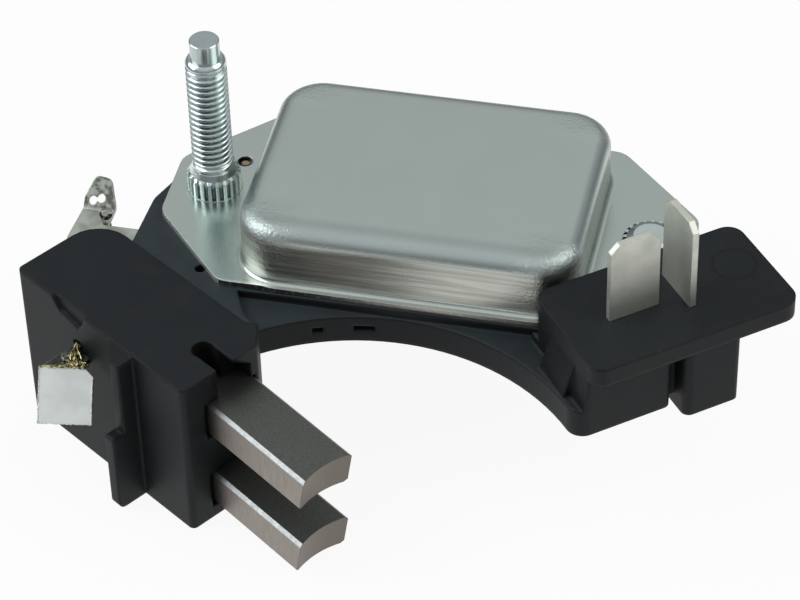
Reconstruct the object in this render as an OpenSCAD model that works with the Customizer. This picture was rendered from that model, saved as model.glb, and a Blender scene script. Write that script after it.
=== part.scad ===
// Alternator voltage regulator with a built-in brush holder.
// The origin is on the axis of the mounting stud, in the top face of the cover's flange.
// X runs along the flange to the splined rivet, Y runs away from the rotor shaft, Z is up.

/* [Cover and base plate] */
// Distance from the mounting stud to the splined rivet
stud_pitch = 53; // [51:0.5:56]
// Flange length past the axis of each stud
flange_end = 5.2; // [4.5:0.1:6]
// Flange depth behind the stud line
flange_back = 15.3; // [14.8:0.1:16.5]
// Flange depth in front of the stud line
flange_front = 16.6; // [16.2:0.1:17]
// Leg of the flange's back chamfers
back_chamfer = 10.9; // [9:0.1:11.5]
// Leg of the front chamfers along X
front_chamfer_x = 9.8; // [9:0.1:10.4]
// Corner radius of the flange
flange_r = 2.6; // [1.5:0.1:3]
// Thickness of the drawn cover sheet
sheet_t = 0.7; // [0.6:0.05:0.9]
// Length of the raised can along X
can_l = 40.4; // [38:0.2:41]
// Step from the flange's front edge to the can's front wall
can_step = 0.7; // [0.6:0.05:1.2]
// Depth of the can along Y
can_w = 29.4; // [27:0.2:30]
// Height of the can above the flange
can_h = 7.8; // [6.5:0.1:9]
// Radius of the can's upright corners
can_corner_r = 5.3; // [4:0.1:6]
// Radius of the can's top edge
can_edge_r = 2; // [1.2:0.1:2.4]
// Radius of the fillet at the foot of the can
can_foot_r = 0.6; // [0.4:0.05:0.65]
// Diameter of the small locating hole beside the stud
locating_hole_d = 1.9; // [1.5:0.1:2.4]
// Thickness of the heat sink base plate
base_t = 1.1; // [0.9:0.05:1.3]
// Cover of the housing rim over the base plate's edge
base_inset = 1.6; // [1.2:0.1:2.2]

/* [Studs] */
// Major diameter of the stud thread
thread_d = 5; // [5:1:5]
// Height of the stud above the flange
stud_h = 22; // [19:0.5:26]
// Diameter of the plain dog point
dog_d = 3.55; // [3.3:0.05:3.9]
// Length of the dog point
dog_l = 3.9; // [3:0.1:4.5]
// Outside diameter of the splines
spline_d = 6.6; // [6.2:0.1:7]
// Depth of one spline groove
spline_depth = 0.45; // [0.3:0.05:0.6]
// Number of splines round a stud
spline_count = 20; // [16:1:24]
// Height of the splined collar above the flange
collar_h = 2.7; // [2:0.1:3.5]
// Diameter of the head under the base plate
stud_head_d = 9.6; // [8.8:0.2:10]
// Thickness of that head
stud_head_t = 1.4; // [1:0.1:1.6]

/* [Housing] */
// Radius of the crescent that clears the rotor shaft
crescent_r = 27.5; // [26.5:0.1:28]
// Distance from the stud line to the crescent's centre
crescent_y = 44.9; // [44.5:0.1:45.5]
// Thickness of the web under the base plate
web_t = 3.7; // [3.5:0.1:4.5]
// Length of the brush holder along the brushes
holder_l = 29.7; // [29:0.1:31]
// Width of the brush holder
holder_w = 12.9; // [12.6:0.1:13.4]
// Height of the brush holder
holder_h = 22.2; // [22:0.1:23]
// Direction of the brushes in plan, from the X axis
brush_angle = -34.2; // [-36:0.1:-33]
// Radius of the holder's rear corner
holder_rear_r = 4.5; // [3:0.1:5]
// Height of the connector flange's top above the cover's flange
plug_top = 5.3; // [5:0.1:6]
// Thickness of the connector flange
plug_flange_t = 2.5; // [2:0.1:2.8]
// Length of the connector flange
plug_l = 26.5; // [25:0.1:28]
// Width of the connector flange
plug_w = 15.05; // [14.5:0.05:15.3]
// Direction of the connector in plan, from the X axis
plug_angle = 38.5; // [37.5:0.1:39]
// Length of the connector body under its flange
plug_body_l = 19.1; // [18.5:0.1:20]

/* [Blade terminals] */
// Width of a blade terminal
blade_w = 6.3; // [6.3:1:6.3]
// Thickness of a blade terminal
blade_t = 0.8; // [0.8:1:0.8]
// Height of the front blade above the connector flange
front_blade_h = 10.8; // [9:0.1:12]
// Height of the rear blade above the connector flange
rear_blade_h = 11.8; // [10:0.1:13]
// Chamfer at a blade's tip
blade_chamfer = 1.1; // [0.6:0.1:1.4]
// Width of the strips that lead to the circuit
strip_w = 3; // [2.4:0.1:3.2]
// Length of the soldering tab beside the brush holder
tab_l = 6.6; // [6:0.1:7.5]
// Slope of that tab below the horizontal
tab_slant = 45; // [30:1:60]
// Length of the soldering eye behind the holder, from its tongue up to its tip
eye_l = 4.2; // [3.8:0.1:5]
// Width of that eye
eye_w = 4; // [3.6:0.1:4.4]
// Slope of that eye above the horizontal
eye_slant = 45; // [35:1:55]

/* [Brushes] */
// Width of a brush across the rotor axis
brush_w = 7.1; // [6.8:0.05:7.2]
// Height of a brush along the rotor axis
brush_h = 5.1; // [5:0.05:5.2]
// Length of a new brush
brush_l = 24; // [22:0.5:25]
// Centre distance of the two brushes along the rotor axis
brush_pitch = 11; // [10.8:0.05:11.2]
// Reach of the upper brush out of the holder
upper_reach = 17.4; // [16:0.1:18]
// Reach of the lower brush out of the holder
lower_reach = 16.2; // [15:0.1:18]
// Radius worn by the slip ring into a brush's end
ring_r = 10; // [9:0.1:14]
// Slope of a brush's end from the rotor axis
brush_rake = 12; // [0:0.5:14]
// Clearance between a brush and its guide on each side
brush_clear = 0.12; // [0.1:0.01:0.15]
// Chamfer on a brush's long edges
brush_chamfer = 0.4; // [0.2:0.05:0.5]
// Wire diameter of a brush spring
spring_wire = 0.45; // [0.4:0.05:0.5]
// Outside diameter of a brush spring
spring_d = 4.2; // [3.8:0.1:4.3]
// Number of turns in a brush spring
spring_turns = 11; // [8:1:12]
// Diameter of a brush's braided lead
lead_d = 1.1; // [0.9:0.05:1.2]

/* [Circuit] */
// Length of the ceramic substrate
ceramic_l = 27; // [24:0.5:28]
// Width of the ceramic substrate
ceramic_w = 18; // [16:0.5:19]
// Thickness of the ceramic substrate
ceramic_t = 0.64; // [0.5:0.02:0.7]

/* [Hidden] */

$fn = 48;
// How far a cut runs past the face that it opens
over = 0.5;
// Gap round a metal insert in the moulding
insert_gap = 0.02;
// Gap at each end of a brush spring
seat_gap = 0.05;
// Segments in a quarter turn of a polygon's rounded corner
corner_steps = 6;

// Levels along Z
base_top = -sheet_t;
web_top = base_top - base_t;
web_bottom = web_top - web_t;
holder_top = base_top + 0.15;
holder_bottom = holder_top - holder_h;
plug_under = plug_top - plug_flange_t;
post_bottom = web_bottom - 1.5;
strip_top = web_top - 0.8;
strip_bottom = strip_top - blade_t;
ceramic_top = base_top + ceramic_t;

// Plan positions of the cover, the base plate and the studs
middle_x = stud_pitch / 2;
right_x = stud_pitch + flange_end;
front_chamfer_angle = 48;
can_front = -flange_front + can_step;
can_back = can_front + can_w;
locating_hole = [2.5, 5];
gauge_hole = [1.9, -14.3];
gauge_hole_d = 1.3;
spline_root_d = spline_d - 2 * spline_depth;
// Band of the flange that belongs to the can's foot, beyond the fillet
foot_band = 0.3;
foot_reach = can_foot_r + foot_band;
// Gap between the cover and the connector that overhangs it
cover_clear = 0.3;
// Rim of the housing to the left of the flange, and where the raised web ends in front
rim_x = -7.3;
step_x = 7.1;

// Brush holder and its guides, in the holder's own axes
holder_origin = [5.3, -35.3];
guide_w = brush_w + 2 * brush_clear;
guide_h = brush_h + 2 * brush_clear;
guide_y = 6.8;
back_wall_t = 2.7;
// Turn of the guides against the holder's walls, about the point guide_pivot_x on their axis
guide_turn = -2.5;
guide_pivot_x = 9.5;
// Extra room on the outer side of each brush
guide_slack = 0.4;
guide_back = back_wall_t - holder_l;
upper_z = holder_top - 4.35 - brush_h / 2;
lower_z = upper_z - brush_pitch;
keyhole_r = 1.35;
keyhole_x = -3.7;
keyhole_y = 6.45;
rib_x = -8.6;
rib_t = 1.4;
rib_reach = 4;
rib_top_reach = 2.35;
rib_step_z = -11.4;
rib_blend = 3;
notch_x = -23.6;
notch_depth = 0.5;

// Springs and leads, in the holder's own axes
spring_offset = 1.05;
socket_l = 3;
lead_bend_r = 1.2;
lead_hole_d = lead_d + 0.5;
upper_lead_x = -18.6;
upper_lead_y = guide_y - 2.45;
upper_lead_z = upper_z + 1.75;
lead_joint_y = 1.5;
lead_rise = 1.5;

// Stem of the soldering tab, in the holder's own axes, and the tab's upper edge in plan
stem_x0 = upper_lead_x - 1.4;
stem_x1 = stem_x0 + strip_w;
stem_riser_y = 1.6;
tab_top = upper_lead_z - 0.8;
tab_top_middle = [-11, -27.75];
tab_turn = 8.8;
// Tongue that carries the soldering eye: its left edge, its end and how it narrows to that end
tongue_x = -15.9;
tongue_y = -4.3;
tongue_w = 3.7;
tongue_taper_left = 0.4;
tongue_taper_right = 1.5;
// Soldering eye: its parts below and in the tongue's end, its hole, and where the lead and solder meet it
eye_drop = 2.1;
eye_root = 0.7;
eye_taper = 1.1;
eye_hole_d = 1.15;
eye_hole = [1.4, 1.15];
eye_hole_l = 1;
eye_joint = [3.3, -0.3];

// Connector, in its own axes
plug_origin = [51.5, -29.5];
plug_wall_y = 1.5;
post_x = 12;
// Upright groove between the body and its post: width, rounded edge and the place of its floor
groove_w = 1.2;
groove_r = 0.9;
groove_y = 3.2;
gusset_y = 4.9;
gusset_l = 5.6;
gusset_reach = 1.45;
corner_gusset_reach = 1;
// Centre and radius of the rounded end of the arm, in the connector's axes
arm_corner_r = 2;
arm_corner = [0.35, 3.5];
front_blade_at = [5.5, 7.3];
rear_blade_at = [14.6, 4.8];

// Windows through which the strips reach the circuit
window_l = 3.4;
riser_l = 2.2;
window_reach = 15.5;
front_lane = can_front + 3.05;
rear_lane = front_lane + strip_w + 1.55;
windows = [for (x = [middle_x - window_reach, middle_x + window_reach], y = [front_lane, rear_lane]) [x, y]];

// Circuit; each size is a length, a width and a height
chip_size = [6.2, 4, 1.4];
transistor_size = [6.6, 6.2, 1.8];
diode_size = [4.6, 3.6, 2.1];
capacitor_size = [3.5, 6, 2.6];
chip_capacitor_size = [3.2, 1.6, 1.25];
resistor_size = [3.2, 1.6, 0.6];
ceramic_y = front_lane + ceramic_w / 2 - 1.2;
part_lead_t = 0.25;
part_lift = 0.1;
resistor_row_y = -7.3;
ribbon_w = 1;
ribbon_t = 0.2;
ribbon_span = 3.2;

function unit(v) = v / norm(v);
// Points of an arc of radius r that rounds the corner p between its neighbours a and b
function corner_arc(a, p, b, r) =
    let (u = unit(a - p), v = unit(b - p), half = acos(u * v) / 2,
        centre = p + unit(u + v) * r / sin(half),
        start = p + u * r / tan(half) - centre,
        turn = (180 - 2 * half) * -sign(u.x * v.y - u.y * v.x),
        steps = max(1, ceil(corner_steps * abs(turn) / 90)))
    [for (i = [0:steps]) let (t = turn * i / steps)
        centre + [start.x * cos(t) - start.y * sin(t), start.x * sin(t) + start.y * cos(t)]];
// A polygon whose corners [x, y, r] are rounded by r, or left sharp where r is 0
function rounded(c) = [for (i = [0:len(c) - 1])
    let (n = len(c), p = [c[i].x, c[i].y], a = c[(i + n - 1) % n], b = c[(i + 1) % n])
    each (c[i][2] > 0 ? corner_arc([a.x, a.y], p, [b.x, b.y], c[i][2]) : [p])];

// Plan position of the point [x, y] of axes that start at o and are turned by angle
function turned(o, angle, x, y) = o + x * [cos(angle), sin(angle)] + y * [-sin(angle), cos(angle)];
// The point on the turned line of constant x that has the plan coordinate y
function turned_at_y(o, angle, x, y) = turned(o, angle, x, (y - o.y - x * sin(angle)) / cos(angle));
function holder_xy(x, y) = turned(holder_origin, brush_angle, x, y);
// The point [x, y] of the guides' axes, in the holder's own axes
function guide_xy(x, y) = turned([guide_pivot_x, guide_y], guide_turn, x - guide_pivot_x, y - guide_y);
// The plan position p, in the holder's own axes
function from_holder(p) = let (v = p - holder_origin)
    [v.x * cos(brush_angle) + v.y * sin(brush_angle), v.y * cos(brush_angle) - v.x * sin(brush_angle)];
function holder_at_y(x, y) = turned_at_y(holder_origin, brush_angle, x, y);
function plug_xy(x, y) = turned(plug_origin, plug_angle, x, y);
function plug_at_y(x, y) = turned_at_y(plug_origin, plug_angle, x, y);
function plug_corner(x, y, r) = [plug_xy(x, y).x, plug_xy(x, y).y, r];
// Where the holder's line of constant x meets the upper edge of the soldering tab
function tab_edge(x) = let (m = [-sin(tab_turn), cos(tab_turn)], a = holder_xy(x, 0), b = holder_xy(x, 1))
    holder_xy(x, ((tab_top_middle - a) * m) / ((b - a) * m));

// Outline of the flange, drawn in by inset at its ends, back and chamfers
function flange_outline(inset, r) = let (
        half = middle_x + flange_end - inset,
        back = flange_back - inset,
        back_leg = back_chamfer - inset * (2 - sqrt(2)),
        leg_x = front_chamfer_x + inset * (1 / sin(front_chamfer_angle) - 1),
        leg_y = leg_x * tan(front_chamfer_angle),
        side = [[half - leg_x, -flange_front], [half, leg_y - flange_front],
            [half, back - back_leg], [half - back_leg, back]])
    rounded(concat([for (p = side) [middle_x + p.x, p.y, r]],
        [for (i = [3:-1:0]) [middle_x - side[i].x, side[i].y, r]]));

// Outline of the web and arm, before the crescent is cut
function web_outline() = rounded([
    [rim_x, -12, 0], [4, -28, 0], [36, -38, 0], plug_corner(-1, plug_wall_y, 1.2),
    each [for (c = groove_corners()) plug_corner(c.x, c.y, c[2])],
    plug_corner(plug_body_l, plug_wall_y, 0.8), plug_corner(plug_body_l, 12.5, 0),
    [right_x - 1, -4, 0], [right_x - 1, flange_back - back_chamfer - 0.4, 2],
    [right_x - back_chamfer - 0.4, flange_back - 1, 2], [back_chamfer - flange_end + 0.4, flange_back - 1, 2],
    [1 - flange_end, flange_back - back_chamfer - 0.4, 2], [0.4 - flange_end, 2, 1], [rim_x + 0.5, -3, 3]]);

// The front of the connector's body round the groove, in the connector's axes; it ends inside the post
function groove_corners() = let (left = post_x - groove_w, right = post_x + 0.4)
    [[left, plug_wall_y, groove_r], [left, groove_y, 0], [right, groove_y, 0], [right, plug_wall_y, 0]];

module in_holder() {
    translate([holder_origin.x, holder_origin.y, 0]) rotate([0, 0, brush_angle]) children();
}

// The holder's axes, turned to the brush guides
module in_guide() {
    in_holder() translate([guide_pivot_x, guide_y, 0]) rotate([0, 0, guide_turn])
        translate([-guide_pivot_x, -guide_y, 0]) children();
}

module in_plug() {
    translate([plug_origin.x, plug_origin.y, 0]) rotate([0, 0, plug_angle]) children();
}

module layer(bottom, top) {
    translate([0, 0, bottom]) linear_extrude(top - bottom) children();
}

module rounded_rect(l, w, r) {
    square([l, w - 2 * r], center = true);
    square([l - 2 * r, w], center = true);
    for (s = [-1, 1], t = [-1, 1]) translate([s * (l / 2 - r), t * (w / 2 - r)]) circle(r);
}

// Solid section of a drawn box with the wall at x = r, the top at h and a top edge of radius e
module box_section(r, h, e, bottom) {
    translate([0, bottom]) square([r, h - e - bottom]);
    translate([0, bottom]) square([r - e, h - bottom]);
    translate([r - e, h - e]) circle(e);
}

// Section of the can's sheet, from the centre of an upright corner outwards
module can_section() {
    f = can_foot_r;
    difference() {
        union() {
            box_section(can_corner_r, can_h, can_edge_r, 0);
            // Foot, with its fillet and a narrow band of the flange
            translate([can_corner_r - sheet_t / 2, -sheet_t]) difference() {
                square([sheet_t / 2 + f + foot_band, f + sheet_t]);
                translate([sheet_t / 2 + f, f + sheet_t]) circle(f);
                translate([sheet_t / 2 + f, sheet_t]) square([foot_band + over, f + over]);
            }
        }
        translate([-over, 0]) box_section(can_corner_r - sheet_t + over, can_h - sheet_t,
            can_edge_r - sheet_t, -sheet_t - over);
    }
}

// The can above the flange: a straight run of sheet on each side, four corners and the top
module can() {
    for (s = [0, 180]) rotate([0, 0, s]) {
        translate([0, can_w / 2 - can_corner_r, 0]) rotate([90, 0, 90])
            linear_extrude(can_l - 2 * can_corner_r, center = true) can_section();
        translate([can_l / 2 - can_corner_r, 0, 0]) rotate([90, 0, 0])
            linear_extrude(can_w - 2 * can_corner_r, center = true) can_section();
        for (t = [-1, 1]) translate([can_l / 2 - can_corner_r, t * (can_w / 2 - can_corner_r), 0])
            rotate([0, 0, t > 0 ? 0 : -90]) rotate_extrude(angle = 90) can_section();
    }
    translate([0, 0, can_h - sheet_t / 2])
        cube([can_l - 2 * can_corner_r, can_w - 2 * can_corner_r, sheet_t], center = true);
}

module can_at() {
    translate([middle_x, (can_front + can_back) / 2, 0]) children();
}

module cover() {
    color([0.66, 0.68, 0.67]) {
        difference() {
            layer(-sheet_t, 0) polygon(flange_outline(0, flange_r));
            can_at() translate([0, 0, -sheet_t - over]) linear_extrude(sheet_t + 2 * over)
                rounded_rect(can_l + 2 * foot_reach, can_w + 2 * foot_reach, can_corner_r + foot_reach);
            for (x = [0, stud_pitch]) translate([x, 0, -sheet_t - over])
                cylinder(d = spline_d + 2 * insert_gap, h = sheet_t + 2 * over);
            translate([locating_hole.x, locating_hole.y, -sheet_t - over])
                cylinder(d = locating_hole_d, h = sheet_t + 2 * over);
        }
        can_at() can();
    }
}

module base_plate() {
    color([0.55, 0.56, 0.56]) difference() {
        layer(web_top, base_top) polygon(flange_outline(base_inset, flange_r));
        for (x = [0, stud_pitch]) translate([x, 0, web_top - over])
            cylinder(d = spline_d + 2 * insert_gap, h = base_t + 2 * over);
        for (w = windows) translate([w.x, w.y, (web_top + base_top) / 2])
            cube([window_l, window_l, base_t + 2 * over], center = true);
    }
}

// One ring of straight splines of height h
module splines(h) {
    step = 360 / spline_count;
    // Place within one step, and 0 on the crest or 1 in the groove
    tooth = [[0.14, 0], [0.36, 0], [0.56, 1], [0.94, 1]];
    linear_extrude(h) polygon([for (i = [0:spline_count - 1], k = tooth)
        let (t = step * (i + k[0]), r = spline_d / 2 - k[1] * spline_depth) r * [cos(t), sin(t)]]);
}

// Head and splined shank that both studs share, up to the height h above the flange
module stud_foot(h) {
    translate([0, 0, web_top]) splines(h - web_top);
    translate([0, 0, web_top - stud_head_t]) cylinder(d = stud_head_d, h = stud_head_t);
}

module mounting_stud() {
    neck_h = 1;
    tip_chamfer = 0.5;
    shoulder_z = stud_h - dog_l;
    end_chamfer = 0.2;
    color([0.78, 0.82, 0.86]) {
        stud_foot(collar_h);
        translate([0, 0, collar_h]) cylinder(d1 = spline_root_d, d2 = thread_d, h = neck_h);
        translate([0, 0, collar_h]) cylinder(d = thread_d, h = shoulder_z - tip_chamfer - collar_h);
        translate([0, 0, shoulder_z - tip_chamfer])
            cylinder(d1 = thread_d, d2 = thread_d - 2 * tip_chamfer, h = tip_chamfer);
        translate([0, 0, shoulder_z]) cylinder(d = dog_d, h = dog_l - end_chamfer);
        translate([0, 0, stud_h - end_chamfer])
            cylinder(d1 = dog_d, d2 = dog_d - 2 * end_chamfer, h = end_chamfer);
    }
}

module splined_rivet() {
    rise = 0.35;
    crown_h = 0.4;
    color([0.72, 0.75, 0.78]) translate([stud_pitch, 0, 0]) {
        stud_foot(rise);
        translate([0, 0, rise]) cylinder(d1 = spline_root_d, d2 = spline_root_d - 4 * crown_h, h = crown_h);
    }
}

module web() {
    difference() {
        union() {
            layer(web_bottom, web_top) polygon(web_outline());
            in_plug() gussets();
            // Raised web round the base plate and up to the holder
            layer(web_top, base_top) difference() {
                polygon(web_outline());
                polygon(rounded([[step_x, -flange_front - over, 0], [step_x + 2, -21.6, 3], [17, -25, 0],
                    [17, -60, 0], [60, -60, 0], plug_corner(0, 0, 0), plug_corner(0, plug_w, 0),
                    [stud_pitch - step_x, -flange_front - over, 0]]));
            }
        }
        translate([middle_x, -crescent_y, web_bottom - over])
            cylinder(r = crescent_r, h = web_t + base_t + 2 * over, $fn = 180);
        // Rounded end of the arm below the connector
        in_plug() translate([arm_corner.x, arm_corner.y, 0]) layer(web_bottom - over, plug_under)
            difference() {
                translate([-2 * arm_corner_r, -2 * arm_corner_r]) square(2 * arm_corner_r - 0.1);
                circle(arm_corner_r);
            }
        // Gauge hole beside the base plate
        translate([gauge_hole.x, gauge_hole.y, web_top - 1])
            cylinder(d = gauge_hole_d, h = base_t + 1 + over);
        // Pockets for the heads under the base plate
        for (x = [0, stud_pitch]) translate([x, 0, web_top - stud_head_t - insert_gap])
            cylinder(d = stud_head_d + 2 * insert_gap, h = stud_head_t + over);
        arm_recesses();
    }
}

// Gussets between the arm and the connector flange: a sloping one and a steep one at the corner
module gussets() {
    sink = 1;
    step = 0.05;
    // Start, length, reach and the height at which the slope begins
    for (g = [[gusset_y, gusset_l, gusset_reach, web_top],
            [plug_wall_y, gusset_y - plug_wall_y, corner_gusset_reach, web_bottom]])
        translate([0, g[0] + g[1], 0]) rotate([90, 0, 0]) linear_extrude(g[1])
            polygon([[sink, web_bottom], [-g[2], web_bottom], [-g[2], g[3]], [step, plug_under],
                [sink, plug_under + sink]]);
}

// Two small windows in the wall of the crescent
module arm_recesses() {
    recess_h = 0.8;
    recess_depth = 0.9;
    recess_rise = 1.5;
    // Direction from the crescent's centre and width in degrees
    for (a = [[110, 2.6], [98.7, 5.2]])
        translate([middle_x, -crescent_y, web_bottom + recess_rise]) rotate([0, 0, a[0] - a[1] / 2])
            rotate_extrude(angle = a[1], $fn = 180)
                translate([crescent_r - recess_depth, 0]) square([2 * recess_depth, recess_h]);
}

module holder_block() {
    in_holder() {
        layer(holder_bottom, holder_top) polygon(rounded([
            [0, 0, 0.7], [0, holder_w - 1.5, 0.3], [-2.4, holder_w + 0.9, 0.3], [-4, holder_w, 0],
            [-holder_l, holder_w, holder_rear_r], [-holder_l, 0, 0.8]]));
        // Lower half of the upright rib on the outer face
        translate([rib_x - rib_t, 0, 0]) rotate([90, 0, 90]) linear_extrude(rib_t)
            polygon(rounded([[over, rib_step_z, 0], [-rib_reach, rib_step_z, 0.3],
                [-rib_reach, holder_bottom, 1], [over, holder_bottom, 0]]));
        // Upper half, which slopes into the wall on the side of the soldering tab
        layer(rib_step_z - 1, holder_top - 0.3) polygon(rounded([[rib_x, over, 0],
            [rib_x, -rib_top_reach, 0.2], [rib_x - rib_t + 0.2, -rib_top_reach, 0.3],
            [rib_x - rib_t - rib_blend, over / 2, 0]]));
    }
}

module upper_lead_hole() {
    in_guide() translate([upper_lead_x, upper_lead_y, upper_lead_z]) rotate([90, 0, 0])
        cylinder(d = lead_hole_d, h = holder_w);
}

module guide_cuts() {
    relief_l = 2.4;
    relief_y = guide_y + guide_w / 2 - 0.3;
    in_guide() {
        for (z = [upper_z, lower_z])
            translate([guide_back, guide_y - guide_w / 2 - guide_slack, z - guide_h / 2])
                cube([2 * over - guide_back, guide_w + guide_slack, guide_h]);
        translate([guide_back + over, upper_lead_y, lower_z]) rotate([0, -90, 0])
            cylinder(d = lead_hole_d, h = holder_l + guide_back + 4 * over);
    }
    upper_lead_hole();
    in_holder() {
        // Keyhole over the mouth of the upper guide
        translate([keyhole_x, keyhole_y, upper_z]) cylinder(r = keyhole_r, h = holder_top - upper_z + over);
        translate([keyhole_x, keyhole_y - keyhole_r + 0.1, upper_z])
            cube([over - keyhole_x, 2 * (keyhole_r - 0.1), holder_top - upper_z + over]);
        // Relief beside the keyhole's mouth, open towards the rotor
        translate([-relief_l, 0, 0]) rotate([90, 0, 90]) linear_extrude(relief_l + over)
            polygon([[keyhole_y, upper_z], [relief_y, upper_z], [relief_y, holder_top - 2.1],
                [keyhole_y + keyhole_r, holder_top - 0.4], [keyhole_y, holder_top - 0.4]]);
        // Shallow notch in the upper edge of the outer wall
        translate([0, notch_depth, 0]) rotate([90, 0, 0]) linear_extrude(notch_depth + over)
            polygon([[notch_x, holder_top + over], [notch_x + 1.6, holder_top - 1.6],
                [notch_x + 5, holder_top - 2.4], [notch_x + 6, holder_top - 1],
                [notch_x + 6.4, holder_top + over]]);
    }
}

module plug_body() {
    difference() {
        in_plug() {
            layer(web_bottom, plug_under) polygon(rounded([[0, plug_wall_y, 1.2], each groove_corners(),
                [plug_body_l, plug_wall_y, 0.8], [plug_body_l, plug_w - 0.6, 0.8], [0, plug_w - 0.6, 1.2]]));
            layer(post_bottom, plug_under) polygon(rounded([[post_x, 0.4, 1],
                [plug_body_l, 0.4, 0.8], [plug_body_l, 9, 0.8], [post_x, 9, 0.8]]));
            layer(plug_under, plug_top) polygon(rounded([[0, 0, 1.8], [plug_l, 0, 2], [plug_l, plug_w, 2],
                [0, plug_w, 1.8]]));
        }
        // Room for the cover under the connector's rear edge
        layer(web_top, plug_under) polygon(flange_outline(-cover_clear, flange_r));
        can_at() layer(0, plug_top + over) rounded_rect(can_l + 2 * cover_clear, can_w + 2 * cover_clear,
            can_corner_r + cover_clear);
    }
}

// The whole moulding, with every recess but that of the soldering tab
module moulding() {
    difference() {
        union() {
            web();
            holder_block();
            plug_body();
        }
        layer(web_top, base_top) polygon(flange_outline(base_inset - insert_gap, flange_r));
        guide_cuts();
        front_blade_shape();
        rear_blade_shape();
        rear_strip_shape();
    }
}

module housing() {
    color([0.16, 0.17, 0.18]) difference() {
        moulding();
        brush_tab_shape();
    }
}

// A flat blade of height h with a chamfered tip, standing on z = 0 along X
module blade(h) {
    translate([0, blade_t / 2, 0]) rotate([90, 0, 0]) linear_extrude(blade_t)
        polygon([[0, 0], [blade_w, 0], [blade_w, h - blade_chamfer], [blade_w - blade_chamfer, h],
            [blade_chamfer, h], [0, h - blade_chamfer]]);
}

// A strip inside the moulding, with the outline p
module strip(p) {
    layer(strip_bottom, strip_top) polygon(p);
}

// Upright end of a strip in a window of the base plate
module riser(w) {
    layer(strip_bottom, ceramic_top) translate([w.x, w.y]) square([riser_l, strip_w - 0.4], center = true);
}

module front_blade_shape() {
    lane = windows[2];
    u0 = front_blade_at.x + (blade_w - strip_w) / 2;
    in_plug() translate([front_blade_at.x, front_blade_at.y, strip_bottom])
        blade(plug_top - strip_bottom + front_blade_h);
    strip([plug_xy(u0, front_blade_at.y), plug_xy(u0 + strip_w, front_blade_at.y),
        plug_at_y(u0 + strip_w, lane.y + strip_w / 2), [lane.x - riser_l / 2, lane.y + strip_w / 2],
        [lane.x - riser_l / 2, lane.y - strip_w / 2], plug_at_y(u0, lane.y - strip_w / 2)]);
    riser(lane);
}

module rear_blade_shape() {
    lane = windows[3];
    u1 = rear_blade_at.x + blade_t;
    v0 = rear_blade_at.y + (blade_w - strip_w) / 2;
    in_plug() translate([rear_blade_at.x + blade_t / 2, rear_blade_at.y, strip_bottom]) rotate([0, 0, 90])
        blade(plug_top - strip_bottom + rear_blade_h);
    strip([plug_xy(u1, v0), plug_at_y(u1, lane.y + strip_w / 2), [lane.x - riser_l / 2, lane.y + strip_w / 2],
        [lane.x - riser_l / 2, lane.y - strip_w / 2], plug_at_y(u1 - strip_w, lane.y - strip_w / 2),
        plug_xy(u1 - strip_w, v0)]);
    riser(lane);
}

module front_blade_terminal() {
    color([0.72, 0.71, 0.66]) front_blade_shape();
}

module rear_blade_terminal() {
    color([0.7, 0.69, 0.64]) rear_blade_shape();
}

module at_tab() {
    translate([tab_top_middle.x, tab_top_middle.y, tab_top]) rotate([0, 0, tab_turn]) children();
}

module brush_tab_shape() {
    lane = windows[0];
    // Flap that hangs from the bend and slants down and outwards
    at_tab() rotate([tab_slant, 0, 0]) translate([0, 0, -blade_t]) linear_extrude(blade_t)
        polygon([[-blade_w / 2, -tab_l], [blade_w / 2, -tab_l], [blade_w / 2, -1],
            [blade_w / 2 - 1, 0], [-blade_w / 2, 0]]);
    // Riser, through which the upper brush's lead passes
    difference() {
        in_holder() translate([stem_x0, stem_riser_y - blade_t, tab_top - blade_t])
            cube([strip_w, blade_t, strip_top - tab_top + blade_t]);
        upper_lead_hole();
    }
    // Stem from the flap into the outer wall of the holder
    layer(tab_top - blade_t, tab_top) polygon([tab_edge(stem_x1), tab_edge(stem_x0),
        holder_xy(stem_x0, stem_riser_y), holder_xy(stem_x1, stem_riser_y)]);
    strip([holder_xy(stem_x1, stem_riser_y - blade_t), holder_at_y(stem_x1, lane.y - strip_w / 2),
        [lane.x + riser_l / 2, lane.y - strip_w / 2], [lane.x + riser_l / 2, lane.y + strip_w / 2],
        holder_at_y(stem_x0, lane.y + strip_w / 2), holder_xy(stem_x0, stem_riser_y - blade_t)]);
    riser(lane);
}

module brush_tab_terminal() {
    color([0.8, 0.82, 0.8]) brush_tab_shape();
}

module rear_strip_shape() {
    lane = windows[1];
    y0 = lane.y - strip_w / 2;
    y1 = lane.y + strip_w / 2;
    strip([[tongue_x, y0], [lane.x + riser_l / 2, y0], [lane.x + riser_l / 2, y1], [tongue_x + tongue_w, y1],
        [tongue_x + tongue_w - tongue_taper_right, tongue_y], [tongue_x + tongue_taper_left, tongue_y]]);
    riser(lane);
    on_eye() translate([0, 0, -blade_t]) difference() {
        linear_extrude(blade_t) polygon(eye_outline());
        for (x = [0, eye_hole_l]) translate([eye_hole.x + x, eye_hole.y + x / 3, -over])
            cylinder(d = eye_hole_d, h = blade_t + 2 * over);
    }
}

// The plane of the soldering eye, which slants up from the end of the tongue
module on_eye() {
    translate([tongue_x, tongue_y, strip_top]) rotate([eye_slant, 0, 0]) children();
}

// Outline of the eye, from the tongue's left edge and up the slope
function eye_outline() = let (left = tongue_taper_left, right = left + eye_w)
    rounded([[left, -eye_root, 0], [left, eye_l / 3, 0.8], [left + eye_taper, eye_l, 0.7],
        [right - eye_taper, eye_l - 0.2, 0.9], [right, 0.4, 1.2], [right - 0.8, -eye_drop, 0.6],
        [right - 1.8, -eye_drop, 0.4], [tongue_w - tongue_taper_right, -eye_root, 0]]);

module rear_terminal_strip() {
    color([0.68, 0.69, 0.66]) rear_strip_shape();
}

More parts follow.
